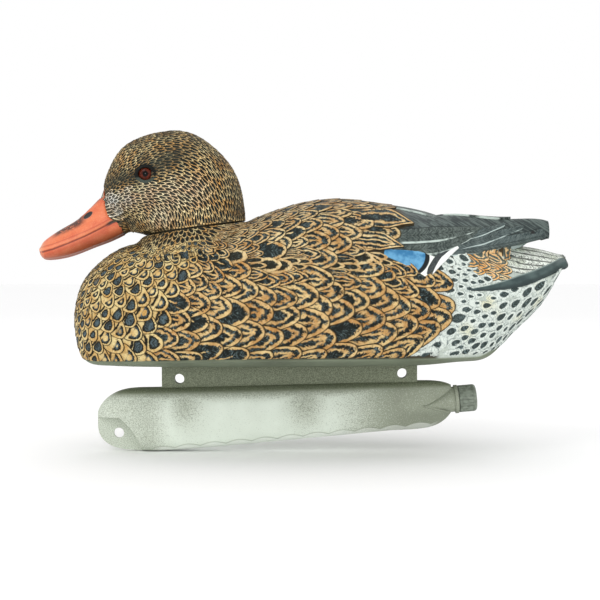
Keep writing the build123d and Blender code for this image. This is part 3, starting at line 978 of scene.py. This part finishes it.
QUILL_TIP_POWER = 2.2  # how square a long feather's tip is
SCAPULARS = (
    # course in the side view, half-widths, lift
    (((38, 161.5), (60, 161.0), (77.0, 155.0)), (6.0, 7.0, 1.0), 1.7),
    (((44, 177.5), (66, 178.0), (84.5, 172.0)), (6.0, 7.5, 1.0), 1.9),
)
TERTIALS = (
    (((68, 154.0), (108, 150.5), (133, 167.0)), (4.0, 4.8, 1.2), 0.9),
    (((64, 163.5), (104, 163.5), (136, 169.5)), (5.5, 5.9, 1.6), 1.3),
)
PRIMARIES = (
    (((104, 151.0), (146, 156.0), (185, 165.2)), (2.5, 5.4, 5.4), 0.6),
    (((100, 152.0), (138, 161.0), (168, 171.0)), (2.5, 4.2, 1.4), 1.0),
    (((112, 159.0), (136, 166.5), (154, 172.5)), (2.0, 3.0, 1.0), 1.3),
)
TOP_TERTIAL = (((58, -12.0), (112, -14.0), (156, -15.0)), (12.0, 11.0, 3.0), 1.4)
SPECULUM = (((62, 152.0), (82, 149.0), (99, 139.0)), (3.0, 6.5, 8.5), 1.0)
WHITE_BAR = (((118, 155.5), (107, 149.0), (98.0, 134.5)), (1.0, 2.3, 0.7), 2.0)
DARK_BAR = (((112, 152.0), (102, 146.0), (94.5, 134.5)), (2.0, 4.0, 1.8), 1.6)
TAIL_RIM = (((128, 123.0), (166, 125.0), (200, 144.0)), (0.8, 4.3, 3.6), 1.6)
TAIL_FEATHERS = 6  # on each side
TAIL_WIDTHS = (2.8, 3.6, 2.4)
TAIL_CEILING = 158.8  # between the tail's roof and the wing tips
TAIL_END = 199.6  # nothing reaches further to the rear


def lay_alone(name, skin, quill, tip_round, material, slot="body_plumage", **shape):
    """A piece that is one long feather or ridge on each side."""
    plumage = Plumage()
    lay_quill(plumage, skin.sight, *quill, tip_round=tip_round, **shape)
    plumage.build(name, material, slot=slot)


def make_wings(skin):
    primaries, tertials, scapulars = Plumage(), Plumage(), Plumage()
    for quill in PRIMARIES:
        lay_quill(primaries, skin.sight, *quill, tip_round=0.5)
    for quill in TERTIALS:
        lay_quill(tertials, skin.sight, *quill, tip_round=2.0)
    lay_quill(tertials, skin.plan, *TOP_TERTIAL, tip_round=1.5, columns=13)
    for quill in SCAPULARS:
        lay_quill(scapulars, skin.sight, *quill, tip_round=1.6)
    slate = quill_paint("tertial_paint", (70, 79, 74), (42, 52, 50), (200, 214, 206))
    tertials.build("tertials", slate)
    scapulars.build("scapulars", bpy.data.materials["mantle_paint"])
    dark = quill_paint("primary_paint", (70, 83, 84), (46, 57, 58), (190, 206, 202))
    primaries.build("primaries", dark)
    lay_alone("speculum", skin, SPECULUM, 0.4, speculum_paint())
    lay_alone("white_wing_bar", skin, WHITE_BAR, 1.8, white_bar_paint())
    dark_bar = plain_paint("dark_bar_paint", (40, 46, 48), (62, 70, 70), 0.55, 0.4)
    lay_alone("dark_wing_bar", skin, DARK_BAR, 1.0, dark_bar)


def make_tail(skin):
    """The tail's fan, laid from the outermost feather in, and the grey rim below it."""
    fan = Plumage()
    for k in reversed(range(TAIL_FEATHERS)):
        share = k / (TAIL_FEATHERS - 1)
        root = (148 - 4 * share, -2 - 30 * share)
        tip = (TAIL_END - 13 * share ** 2, -2 - 22 * share)
        bend = ((root[0] + tip[0]) / 2, (root[1] + tip[1]) / 2 - 2)
        lift = 1.1 - 0.12 * k
        lay_quill(fan, skin.under_wing, (root, bend, tip), TAIL_WIDTHS, lift, tip_round=1.6)
    fan.build("tail_feathers", tail_paint())
    lay_alone("tail_rim", skin, TAIL_RIM, 0.6, rim_paint(), rows=30)


# ---------------- head
HEAD_GUIDES = (
    (-147, 205, 62, 2.3, 4.8), (-139, 226, 38, 2.6, 5.7),
    (-122, 238, 15, 2.6, 6), (-105, 241, 0, 2.7, 6.2),
    (-85, 236, -20, 2.8, 6.7), (-67, 226, -46, 2.8, 7),
    (-55, 210, -68, 2.8, 7), (-50, 195, -84, 2.7, 7.4),
    (-47, 178, -90, 2.4, 7.4), (-143, 189, 8, 2.9, 5.2),
    (-136, 196, 12, 2.7, 5.2), (-130, 176, -12, 2, 5),
    (-124, 171, -50, 2, 5.7), (-122, 188, -4, 2.3, 5.2),
    (-105, 197, -6, 2.4, 5.7), (-86, 192, -34, 2.6, 6.7),
    (-108, 180, -42, 2.3, 6.5), (-117, 168, -66, 2, 6.5),
    (-94, 174, -80, 2.1, 7.9), (-68, 192, -62, 2.6, 7.2),
    (-75, 172, -86, 2.1, 7.9), (-101, 214, 4, 2.6, 6), (-82, 214, -26, 2.8, 6.7), (-63, 211, -62, 2.8, 7),
    (-135, 212, 30, 2.3, 5), (-120, 224, 22, 2.4, 5.5), (-122, 202, 0, 2.1, 4.8),
)
HEAD_TONES = (
    # as seen from the side: x, z, reach, tone; above 0 is darker and below 0 is paler
    (-150, 202, 6, 0.80), (-144, 205, 6.5, 0.95), (-137, 208, 7, 1.00), (-130, 209, 6.5, 1.00),
    (-121, 222, 6, 0.85), (-112, 217, 8, 1.00), (-105, 221, 9, 1.00),
    (-97, 225, 9, 0.95), (-89, 228, 8, 0.60),
    (-118, 196, 13, -0.30), (-100, 196, 14, -0.30), (-84, 198, 13, -0.25), (-108, 180, 11, -0.30),
    (-145, 191, 7.5, -1.00), (-141, 183, 5, -0.90), (-134, 192, 7, -0.60), (-134, 200, 5, -0.50),
    (-133, 175, 4.5, 0.90), (-127, 172, 5, 0.65), (-48, 185, 10, 0.70),
    (-50, 200, 10, 0.55), (-60, 225, 11, 0.50),
    (-80, 240, 12, 0.60), (-105, 246, 13, 0.75), (-128, 238, 11, 0.65),
    (-145, 216, 6, 0.45), (-60, 173, 9, 0.45),
)
BILL_EDGE = ((160, -130.0), (167, -133.0), (170, -133.5), (175, -136.5), (179, -140.5),
             (181, -144.5), (186, -148.5), (195, -150.2), (200, -151.5))
EYE_LOW, EYE_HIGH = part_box("right_eye")
EYE_STAND = 1.1 * MM  # how far the glass stands proud of the cheek
EYE_CENTRE = (EYE_LOW + EYE_HIGH) / 2
EYE_CENTRE.y = EYE_HIGH.y - EYE_STAND
EYE_ROOM = 8.8  # feathers' middles start this far from the eye's middle
HEAD_FLOOR = 0.9  # lowest feather over the neck's seam
HEAD_MIDDLE = Vector((-98.0, 0, 204.0)) * MM
SEAM_GAP = 0.4 * MM  # how far the hull's feathers stay under the seam,
UNDER_HEAD = 46 * MM  # within this distance of the neck's axis
CHINE_FLOOR = 0.9  # how far they stay above the chine
HEAD_LIFT = 0.38 * MM
HEAD_CROWN = 0.22 * MM


def over_seam(point):
    return (point - NECK).dot(NECK_AXIS)


def head_wanted(point, normal):
    x, z = point.x / MM, point.z / MM
    if over_seam(point) < 2.0 * MM or normal.dot(NECK_AXIS) < -0.8:
        return False
    if normal.dot(point - HEAD_MIDDLE) < 0:
        return False
    if x < follow(BILL_EDGE, z) + 0.8:
        return False
    from_eye = math.hypot(x - EYE_CENTRE.x / MM, (z - EYE_CENTRE.z / MM) * 1.15)
    return from_eye > EYE_ROOM


def side_view(point):
    """Where a point shows in the middle plane, from a camera on its own side, in millimetres."""
    shrink = CAMERA_DISTANCE / (CAMERA_DISTANCE - abs(point.y))
    x = CAMERA_X + (point.x - CAMERA_X) * shrink
    z = CAMERA_HEIGHT + (point.z - CAMERA_HEIGHT) * shrink
    return x / MM, z / MM


def head_tone(point):
    x, z = side_view(point)
    tone = 0.0
    for tx, tz, reach, value in HEAD_TONES:
        near = math.exp(-((x - tx) ** 2 + (z - tz) ** 2) / reach ** 2)
        if near * abs(value) > abs(tone):
            tone = near * value
    return tone


def make_head_plumage(skin):
    flock = Plumage()
    spots = spread(skin, HEAD_GUIDES, head_wanted, 4)
    for spot in sorted(spots, key=lambda s: s.point.x):
        tone = head_tone(spot.point)
        lay_feather(flock, skin, spot, HEAD_LIFT, HEAD_CROWN, tone, 5, 5, above_seam)
    flock.build("head_feathers", streak_paint(), "head", "head_plumage")


def above_seam(place):
    """Keeps head feathers clear of the hull below the seam, so that the head can turn."""
    low = HEAD_FLOOR * MM - over_seam(place)
    if low > 0:
        place = place + NECK_AXIS * low
    return place


def below_seam(place):
    """Keeps hull feathers at the neck under the head, and flank feathers above the chine."""
    high = over_seam(place) + SEAM_GAP
    from_axis = place - NECK
    radial = from_axis - NECK_AXIS * from_axis.dot(NECK_AXIS)
    if high > 0 and radial.length < UNDER_HEAD:
        place = place - NECK_AXIS * high
    chine = (follow(CHINE, place.x / MM) + CHINE_FLOOR) * MM
    return Vector((min(place.x, TAIL_END * MM), place.y, max(place.z, chine)))


# ---------------- bill and eyelids
MOUTH = ((-197.5, 151.6), (-188.3, 154.0), (-176.9, 158.4), (-164.1, 163.9), (-151.4, 170.2),
         (-144, 174.4), (-138, 177.0))
BILL_AXIS = ((-200, 152.2), (-187, 157.0), (-168, 165.0), (-150, 172.5), (-134, 177.0))
BILL_REAR = ((0, -151.0), (25, -149.8), (50, -148.6), (75, -146.0), (95, -139.0), (115, -135.0),
             (140, -132.0), (180, -131.0))
BILL_TIP_X = -199.6
FIRST_ASK_X = -199.0  # the skin is looked for no nearer the tip
BLUNT_LENGTH = 3.0  # the skin draws in over this length at the tip
BLUNTNESS = 0.45
NOSTRIL = (-162.5, 179.4)
NOSTRIL_TILT = 35.0
NOSTRIL_HALF = (4.6, 2.1)  # half its length and half its width
NAIL_X = -197.0
NAIL_LENGTH = 4.0
GROOVE_WIDTH = 0.75
LIP_HEIGHT = 2.6  # above the mouth line
LIP_WIDTH = 1.3
TIP_CROWDING = 1.25  # stations stand closer together near the tip
BILL_STATIONS = 72
BILL_TURNS = 96


def bill_end(turn):
    """How far back the bill's skin goes at each turn from the top, in millimetres."""
    side = abs(math.degrees(turn))
    return follow(BILL_REAR, side)


def make_bill(skin):
    points, marks = [], []
    for i in range(BILL_STATIONS):
        for k in range(BILL_TURNS):
            turn = -math.pi + 2 * math.pi * k / BILL_TURNS
            share = i / (BILL_STATIONS - 1)
            x = BILL_TIP_X + (bill_end(turn) - BILL_TIP_X) * share ** TIP_CROWDING
            centre = Vector((x, 0, follow(BILL_AXIS, x))) * MM
            way = Vector((0, math.sin(turn), math.cos(turn)))
            ask = Vector((max(x, FIRST_ASK_X) * MM, 0, centre.z))
            place, normal = skin.facing(ask, way)
            if place is None:
                place, normal = ask + way * 0.004, way
            round_off = max(0.0, 1 - (x - BILL_TIP_X) / BLUNT_LENGTH) ** 2
            place = place.lerp(ask, BLUNTNESS * round_off)
            place.x = x * MM
            place, mark = bill_relief(place, normal, turn, share)
            points.append(tuple(place))
            marks.append(mark)
    tip_face = tuple(range(BILL_TURNS - 1, -1, -1))
    last = (BILL_STATIONS - 1) * BILL_TURNS
    rear_face = tuple(last + k for k in range(BILL_TURNS))
    faces = tube_faces(BILL_STATIONS, BILL_TURNS) + [tip_face, rear_face]
    mesh = smooth_mesh("bill", points, faces, bill_paint())
    mark_points(mesh, "bill", marks)
    add_piece("bill", mesh, "head")


def bell(value, middle, width):
    """1 in the middle, falling smoothly on both sides."""
    return math.exp(-((value - middle) / width) ** 2)


def bill_relief(place, normal, turn, share):
    """Mouth groove, nostril, raised lip and nail; returns the point and what the paint needs."""
    x, z = place.x / MM, place.z / MM
    side = min(1.0, abs(math.sin(turn)) * 1.6)
    from_mouth = z - follow(MOUTH, x)
    groove = bell(from_mouth, 0, GROOVE_WIDTH) * side
    lip = bell(from_mouth, LIP_HEIGHT, LIP_WIDTH) * side
    lower = 1 / (1 + math.exp(from_mouth * 2.2))
    tilt = math.radians(NOSTRIL_TILT)
    dx, dz = x - NOSTRIL[0], z - NOSTRIL[1]
    along = (dx * math.cos(tilt) + dz * math.sin(tilt)) / NOSTRIL_HALF[0]
    across = (dz * math.cos(tilt) - dx * math.sin(tilt)) / NOSTRIL_HALF[1]
    hole = math.hypot(along, across)
    pit = 1 / (1 + math.exp((hole - 0.8) * 9))
    rim = bell(hole, 1.45, 0.35)
    rear = max(0.0, (share - 0.93) / 0.07)
    height = 1.0 + 0.30 * lip - 0.75 * groove - 0.45 * lower * side
    height += 0.28 * rim - 0.85 * pit - 0.7 * rear ** 2
    nail = bell(x, NAIL_X, NAIL_LENGTH) * bell(turn, 0, 0.7)
    height += 0.35 * nail
    return place + normal * height * MM, (from_mouth * side + 9 * (1 - side), hole, math.degrees(abs(turn)))


def bill_paint():
    """Orange bill: painted shade under the mouth line, on the underside and along the top of the lip's
    ridge, a painted highlight along the lip, black flecks on the ridge, a pale nail.
    """
    paint = Paint("bill_paint")
    x, y, z = paint.split(paint.place)
    mouth, hole, turn = paint.attribute("bill")
    cloud = paint.noise(70, detail=4)
    paint.colour = paint.mix(cloud.step(0.34, 0.66), (222, 118, 74), (204, 88, 50))
    fine = paint.noise(900, detail=2)
    paint.coat(fine.step(0.5, 0.72) * 0.3, (234, 156, 114))
    # painted shade on the bill's underside
    under = turn.step(100, 142)
    paint.coat(under * 0.8, (140, 74, 48))
    tip = x.step(-0.1945, -0.1985)
    paint.coat(tip * 0.6, (228, 160, 118))
    slit = abs(mouth).step(0.85, 0.3)
    paint.coat(slit * 0.85, (112, 40, 22))
    near_mouth = abs(mouth).step(1.9, 1.1)
    gape = near_mouth * x.step(-0.15, -0.145)
    paint.coat(gape, (40, 18, 12))
    shade = mouth.band(-3.4, -0.8, 0.6)
    paint.coat(shade * 0.3, (176, 74, 44))
    # painted highlight along the raised lip
    lip = mouth.band(0.9, 2.0, 0.4)
    paint.coat(lip * 0.38, (240, 160, 118))
    # painted shade along the upper edge of the lip's ridge
    line = mouth.band(2.9, 3.5, 0.5)
    paint.coat(line * 0.62, (158, 62, 36))
    streak_place = paint.join(x * 260, y * 900, z * 420)
    streaks = paint.noise(1.0, detail=3, place=streak_place, rough=0.7)
    ridge = x.band(-0.189, -0.166, 0.004) * turn.step(66, 34)
    black = streaks.step(0.34, 0.46) * ridge
    paint.coat(black * 0.92, (28, 18, 12))
    seam = turn.band(-30, 9, 3) * x.band(-0.163, -0.15, 0.003)
    paint.coat(seam * 0.5, (90, 44, 26))
    nostril = hole.step(1.02, 0.82)
    paint.coat(nostril, (16, 8, 6))
    paint.bump(paint.noise(260, detail=3), 0.00025, 0.5)
    return paint.finish(0.42, 0.5)


LID_HALF_WIDTH = 5.8
LID_HALF_HEIGHT = 4.9
LID_FLATTEN = 0.10  # how much flatter the lid is at its corners
LID_STEPS = 48
LID_RINGS = (
    # growth of the opening, lift in millimetres, and how far the ring follows the cheek
    (1.62, -0.5, 1.0), (1.40, 0.75, 0.9), (1.18, 1.25, 0.55), (1.02, 1.15, 0.25),
    (0.95, 0.7, 0.1), (0.93, -1.2, 0.1),
)


def eyelid_paint():
    """Black above the eye, grey-green below it."""
    paint = Paint("eyelid_paint")
    _, _, z = paint.split(paint.place)
    low = z.step(EYE_CENTRE.z - 0.002, EYE_CENTRE.z - 0.0036)
    fine = paint.noise(1200, detail=2)
    paint.colour = paint.mix(low * 0.8, (16, 18, 16), (78, 88, 80))
    paint.coat(fine * 0.3, (20, 18, 12))
    paint.bump(fine, 0.0001, 0.5)
    return paint.finish(0.6, 0.12)


def make_eyelids(skin):
    """A raised almond lid round each eye, dark above and pale below."""
    material = eyelid_paint()
    for side in SIDES:
        points = []
        for grow, lift, follow_skin in LID_RINGS:
            for k in range(LID_STEPS):
                turn = 2 * math.pi * k / LID_STEPS
                dx = LID_HALF_WIDTH * grow * math.cos(turn)
                dz = LID_HALF_HEIGHT * grow * math.sin(turn) * (1 - LID_FLATTEN * math.cos(turn) ** 2)
                flat = Vector((EYE_CENTRE.x + dx * MM, side * EYE_CENTRE.y, EYE_CENTRE.z + dz * MM))
                place, _ = skin.facing(Vector((flat.x, 0, flat.z)), (0, side, 0))
                skin_y = abs(place.y) if place else EYE_CENTRE.y
                out = EYE_CENTRE.y + (skin_y - EYE_CENTRE.y) * follow_skin + lift * MM
                points.append((flat.x, side * out, flat.z))
        faces = tube_faces(len(LID_RINGS), LID_STEPS, closed=True)
        if side < 0:
            faces = [face[::-1] for face in faces]
        name = "left_eyelid" if side < 0 else "right_eyelid"
        add_piece(name, smooth_mesh(name, points, faces, material), "head")


# ---------------- carried-over CAD nodes
def hull_base_paint():
    """Drab olive plastic below the chine, painted shade in the gaps between the feathers above it."""
    paint = Paint("hull_base_paint")
    x, y, z = paint.split(paint.place)
    mist = paint.noise(14, detail=4)
    fine = paint.noise(900, detail=2)
    olive = paint.mix(mist.step(0.35, 0.65), (96, 104, 84), (122, 132, 110))
    olive = paint.mix(fine * 0.25, olive, (70, 76, 60))
    # painted shade: the dark base that shows in the gaps between the feathers
    dark = paint.mix(fine, (40, 38, 26), (66, 60, 42))
    height = z - x.step(0.125, 0.2) * 0.06
    upper = height.step(0.0745, 0.0765)
    pale = paint.mix(fine, (214, 222, 210), (150, 162, 156))
    vent_height = z - x.step(0.135, 0.155) * 0.012
    vent = x.step(0.094, 0.099) * vent_height.step(0.144, 0.134)
    slant = x * 380 + z * 620
    barb_place = paint.join(slant, y * 120, x * 60)
    barbs = paint.noise(1.0, detail=3, place=barb_place, rough=0.7)
    slate = paint.mix(barbs.step(0.42, 0.62), (42, 52, 52), (92, 104, 100))
    wing = x.step(0.07, 0.078) * z.step(0.146, 0.15)
    tail_end = x.step(0.19, 0.194) * z.step(0.135, 0.137)
    plumage = paint.mix(paint.larger(wing, tail_end), paint.mix(vent, dark, pale), slate)
    paint.colour = paint.mix(upper, olive, plumage)
    paint.bump(fine, 0.0002, 0.5)
    return paint.finish(0.6, 0.35)


def head_base_paint():
    """Painted shade in the gaps between the head's feathers, orange under the bill's skin."""
    paint = Paint("head_base_paint")
    x, _, _ = paint.split(paint.place)
    fine = paint.noise(700, detail=3)
    # painted shade: the dark base that shows in the gaps between the head's feathers
    dark = paint.mix(fine, (44, 38, 22), (78, 68, 42))
    orange = paint.mix(fine, (206, 100, 62), (228, 122, 78))
    paint.colour = paint.mix(x.step(-0.15, -0.152), dark, orange)
    paint.bump(fine, 0.00012, 0.5)
    return paint.finish(0.55, 0.35)


def plain_paint(name, main, other, rough, gloss, grain=700):
    paint = Paint(name)
    fine = paint.noise(grain, detail=3)
    paint.colour = paint.mix(fine.step(0.35, 0.65), main, other)
    paint.bump(fine, 0.00012, 0.5)
    return paint.finish(rough, gloss)


def eye_paint(side):
    """Brown iris round a black pupil, all glossy."""
    name = "left_eye" if side < 0 else "right_eye"
    low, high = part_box(name)
    centre = (low + high) / 2
    paint = Paint(name + "_paint")
    x, _, z = paint.split(paint.place)
    dx = x - centre.x
    dz = z - centre.z
    radius = paint.math("SQRT", dx * dx + dz * dz)
    rays = paint.noise(900, detail=2)
    iris = paint.mix(rays.step(0.35, 0.65), (98, 38, 22), (58, 22, 12))
    paint.colour = paint.mix(radius.step(0.002, 0.0023), (1, 1, 1), iris)
    paint.coat(radius.step(0.0049, 0.0054), (24, 10, 6))
    return paint.finish(0.06, 0.14)


def dress(node, material):
    for slot in NODES[node].material_slots:
        slot.material = material


PLAIN_NODES = (
    # node, paint, its two colours, roughness, gloss, and the scale of its grain
    ("keel_cap", "cap_paint", (112, 120, 108), (140, 150, 136), 0.5, 0.4, 300),
    ("neck_socket", "socket_plastic", (44, 46, 44), (58, 60, 56), 0.5, 0.4),
    ("neck_plug", "plug_plastic", (50, 52, 48), (64, 66, 60), 0.5, 0.4),
    ("neck_o_ring", "ring_rubber", (18, 18, 18), (30, 30, 30), 0.7, 0.3),
    ("cap_liner", "liner_rubber", (22, 22, 22), (36, 36, 36), 0.7, 0.3),
    ("keel_ballast", "sand", (176, 152, 112), (140, 118, 84), 0.9, 0.2, 2500),
    ("vent_plug", "vent_plastic", (14, 15, 15), (26, 28, 28), 0.5, 0.4),
)


def dress_cad():
    dress("body_shell", hull_base_paint())
    dress("head_shell", head_base_paint())
    dress("keel_shell", keel_paint())
    for node, *look in PLAIN_NODES:
        dress(node, plain_paint(*look))
    dress("left_eye", eye_paint(-1))
    dress("right_eye", eye_paint(1))


# ---------------- keel
SPOUT_RIDGE = (((90.5, 34.6), (101, 32.0), (111.5, 29.4)), (0.35, 0.9, 1.0), 0.9)
LEDGE_PITCH = 0.0195  # the scallops pressed into the keel's lower flanks, in metres
LEDGE_SLOPE = 0.0915
LEDGE_HEIGHT = 0.0118
LEDGE_ARCH = 0.0022


def keel_paint():
    """Pale grey-green sprayed in a fine grain over olive plastic, thin in some places; painted shade along
    the top edge and under the spout, and a painted highlight and shadow line at the scalloped ledge.
    """
    paint = Paint("keel_paint")
    x, _, z = paint.split(paint.place)
    grain = paint.noise(1500, detail=2)
    mist = paint.noise(18, detail=4, rough=0.6)
    lit = paint.mix(mist.step(0.35, 0.62), (224, 233, 220), (236, 245, 233))
    olive = paint.mix(mist.step(0.3, 0.7), (104, 110, 90), (124, 132, 108))
    # how thin the spray is in two soft bands; the painted shade along the top edge, under the hull, and
    # under the spout is mixed in as thinner spray
    top = x * 0.022 + 0.0455
    above = z - top
    # painted shade along the top edge, where the hull shades the keel
    edge = above.step(-0.0075, 0.003)
    high = z.step(0.006, 0.036)
    front = x.band(-0.1, -0.078, 0.012) * high
    middle = x.band(-0.01, 0.014, 0.012) * high
    # painted shade under the spout
    rear = x.step(0.04, 0.088) * z.step(0.036, 0.022)
    tail = x.step(0.004, 0.076) * 0.95
    soft = paint.larger(front, middle) * 0.62
    keel_shade = paint.larger(rear * 0.8, edge * 0.85)
    nose = x.step(-0.092, -0.118) * 0.55
    thin = paint.larger(soft, keel_shade, tail, nose)
    dots = (thin * 0.36 + grain).step(0.6, 0.84)
    washed = paint.mix(thin * 0.66, lit, (148, 152, 130))
    paint.colour = paint.mix(dots * 0.6, washed, olive)
    # painted shadow under the spout
    spout_shadow = x.step(0.052, 0.092) * z.step(0.036, 0.027)
    paint.coat(spout_shadow * 0.42, (96, 102, 86))
    web = above.step(0.0005, 0.0035)
    speckled = paint.mix(grain.step(0.4, 0.62), (104, 110, 88), (142, 150, 126))
    paint.coat(web, speckled)
    # the scalloped ledge along the foot of the flank: a painted highlight on the ledge, a painted shadow
    # line above it, and a bump
    arch = abs(paint.math("SINE", x * (math.pi / LEDGE_PITCH)))
    line = x * LEDGE_SLOPE + LEDGE_HEIGHT + arch * LEDGE_ARCH
    over = z - line
    along = x.band(-0.112, 0.1, 0.006)
    # painted highlight on the ledge
    lit_ledge = over.step(0.0005, -0.0001) * along
    paint.coat(lit_ledge * 0.4, (246, 250, 244))
    # painted shadow line above the ledge
    crease_shadow = over.band(0.0001, 0.0008, 0.0004) * along
    paint.coat(crease_shadow * 0.42, (140, 148, 128))
    relief = grain * 0.15 + lit_ledge * -1.0
    paint.bump(relief, 0.0006, 0.6)
    return paint.finish(0.58, 0.4)


def make_spout_ridges(skin):
    """The lower edge of the notch in which the spout sits, on both sides of the keel."""
    paint = bpy.data.materials["keel_paint"]
    lay_alone("spout_ridges", skin, SPOUT_RIDGE, 0.3, paint, slot="keel_plastic", crown=0.5)


# ---------------- everything
def make_scene():
    make_camera()
    make_light()
    make_floor()
    dress_cad()
    hull = Skin("body_shell")
    make_hull_plumage(hull)
    make_wings(hull)
    make_tail(hull)
    head = Skin("head_shell")
    make_head_plumage(head)
    make_bill(head)
    make_eyelids(head)
    make_spout_ridges(Skin("keel_shell"))


make_scene()
